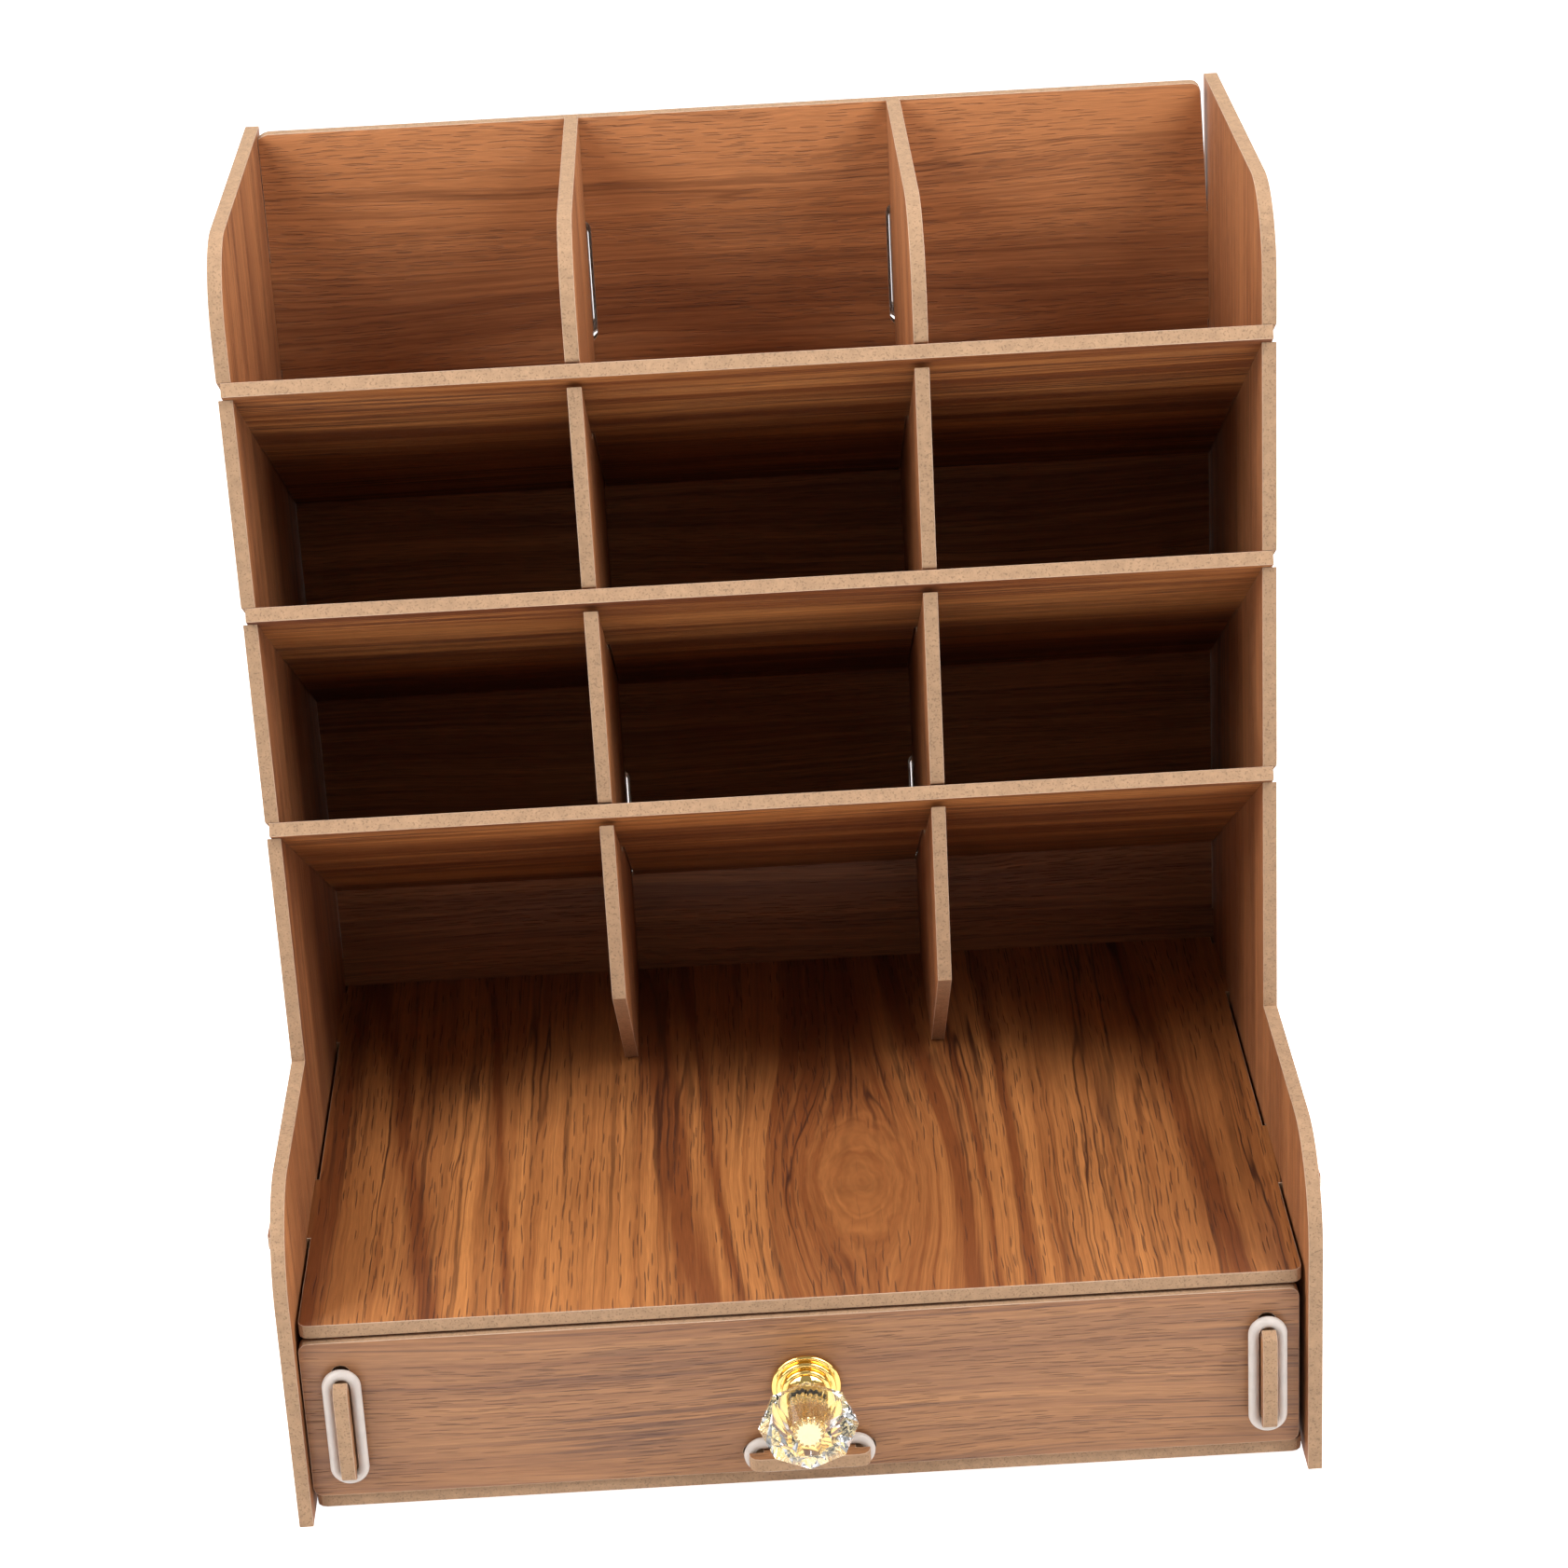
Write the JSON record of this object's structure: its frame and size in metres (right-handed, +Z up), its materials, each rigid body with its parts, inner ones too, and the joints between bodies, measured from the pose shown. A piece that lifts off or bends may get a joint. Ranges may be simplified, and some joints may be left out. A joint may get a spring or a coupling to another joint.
{
  "type": "desk pen organizer",
  "caption": "Slotted wood-look desk organizer with sloping pen tiers, an open tray and a drawer with a clear faceted knob.",
  "frame": {"origin": "under the middle of the whole object's box, on the surface it stands on", "axes": "+Z up, -Y towards the front where the drawer opens, +X to the right seen from the front"},
  "size_m": [0.2632, 0.2152, 0.298],
  "materials": {
    "board_wood": "satin laminate",
    "tray_wood": "satin laminate",
    "elastic": "smooth, milky",
    "rosette_gold": "polished",
    "knob_clear": "polished facets",
    "insert_brass": "fluted",
    "screw_steel": "plain"
  },
  "bodies": {
    "cabinet": {"left_side_panel": "board_wood", "right_side_panel": "board_wood", "back_panel": "board_wood", "row_divider_top": "board_wood", "row_divider_middle": "board_wood", "row_divider_bottom": "board_wood", "left_column_divider": "board_wood", "right_column_divider": "board_wood", "base_board": "board_wood", "tray_board": "tray_wood", "column_ring_left_upper": "elastic", "column_ring_left_lower": "elastic", "column_ring_right_upper": "elastic", "column_ring_right_lower": "elastic", "back_ring_left_upper": "elastic", "back_ring_left_lower": "elastic", "back_ring_right_upper": "elastic", "back_ring_right_lower": "elastic", "tray_ring_left_front": "elastic", "tray_ring_left_rear": "elastic", "tray_ring_right_front": "elastic", "tray_ring_right_rear": "elastic"},
    "drawer": {"drawer_front": "board_wood", "drawer_left_side": "board_wood", "drawer_right_side": "board_wood", "drawer_back": "board_wood", "drawer_bottom": "board_wood", "drawer_ring_front_left": "elastic", "drawer_ring_front_right": "elastic", "drawer_ring_front_floor": "elastic", "drawer_ring_rear_left": "elastic", "drawer_ring_rear_right": "elastic", "drawer_ring_rear_floor": "elastic", "knob_rosette": "rosette_gold", "knob_crystal": "knob_clear", "knob_insert": "insert_brass", "knob_screw": "screw_steel"}
  },
  "joints": [
    {"name": "drawer_slide", "type": "slide", "parent": "cabinet", "child": "drawer", "axis": [0, -1, 0], "range_m": [0, 0.15]}
  ]
}
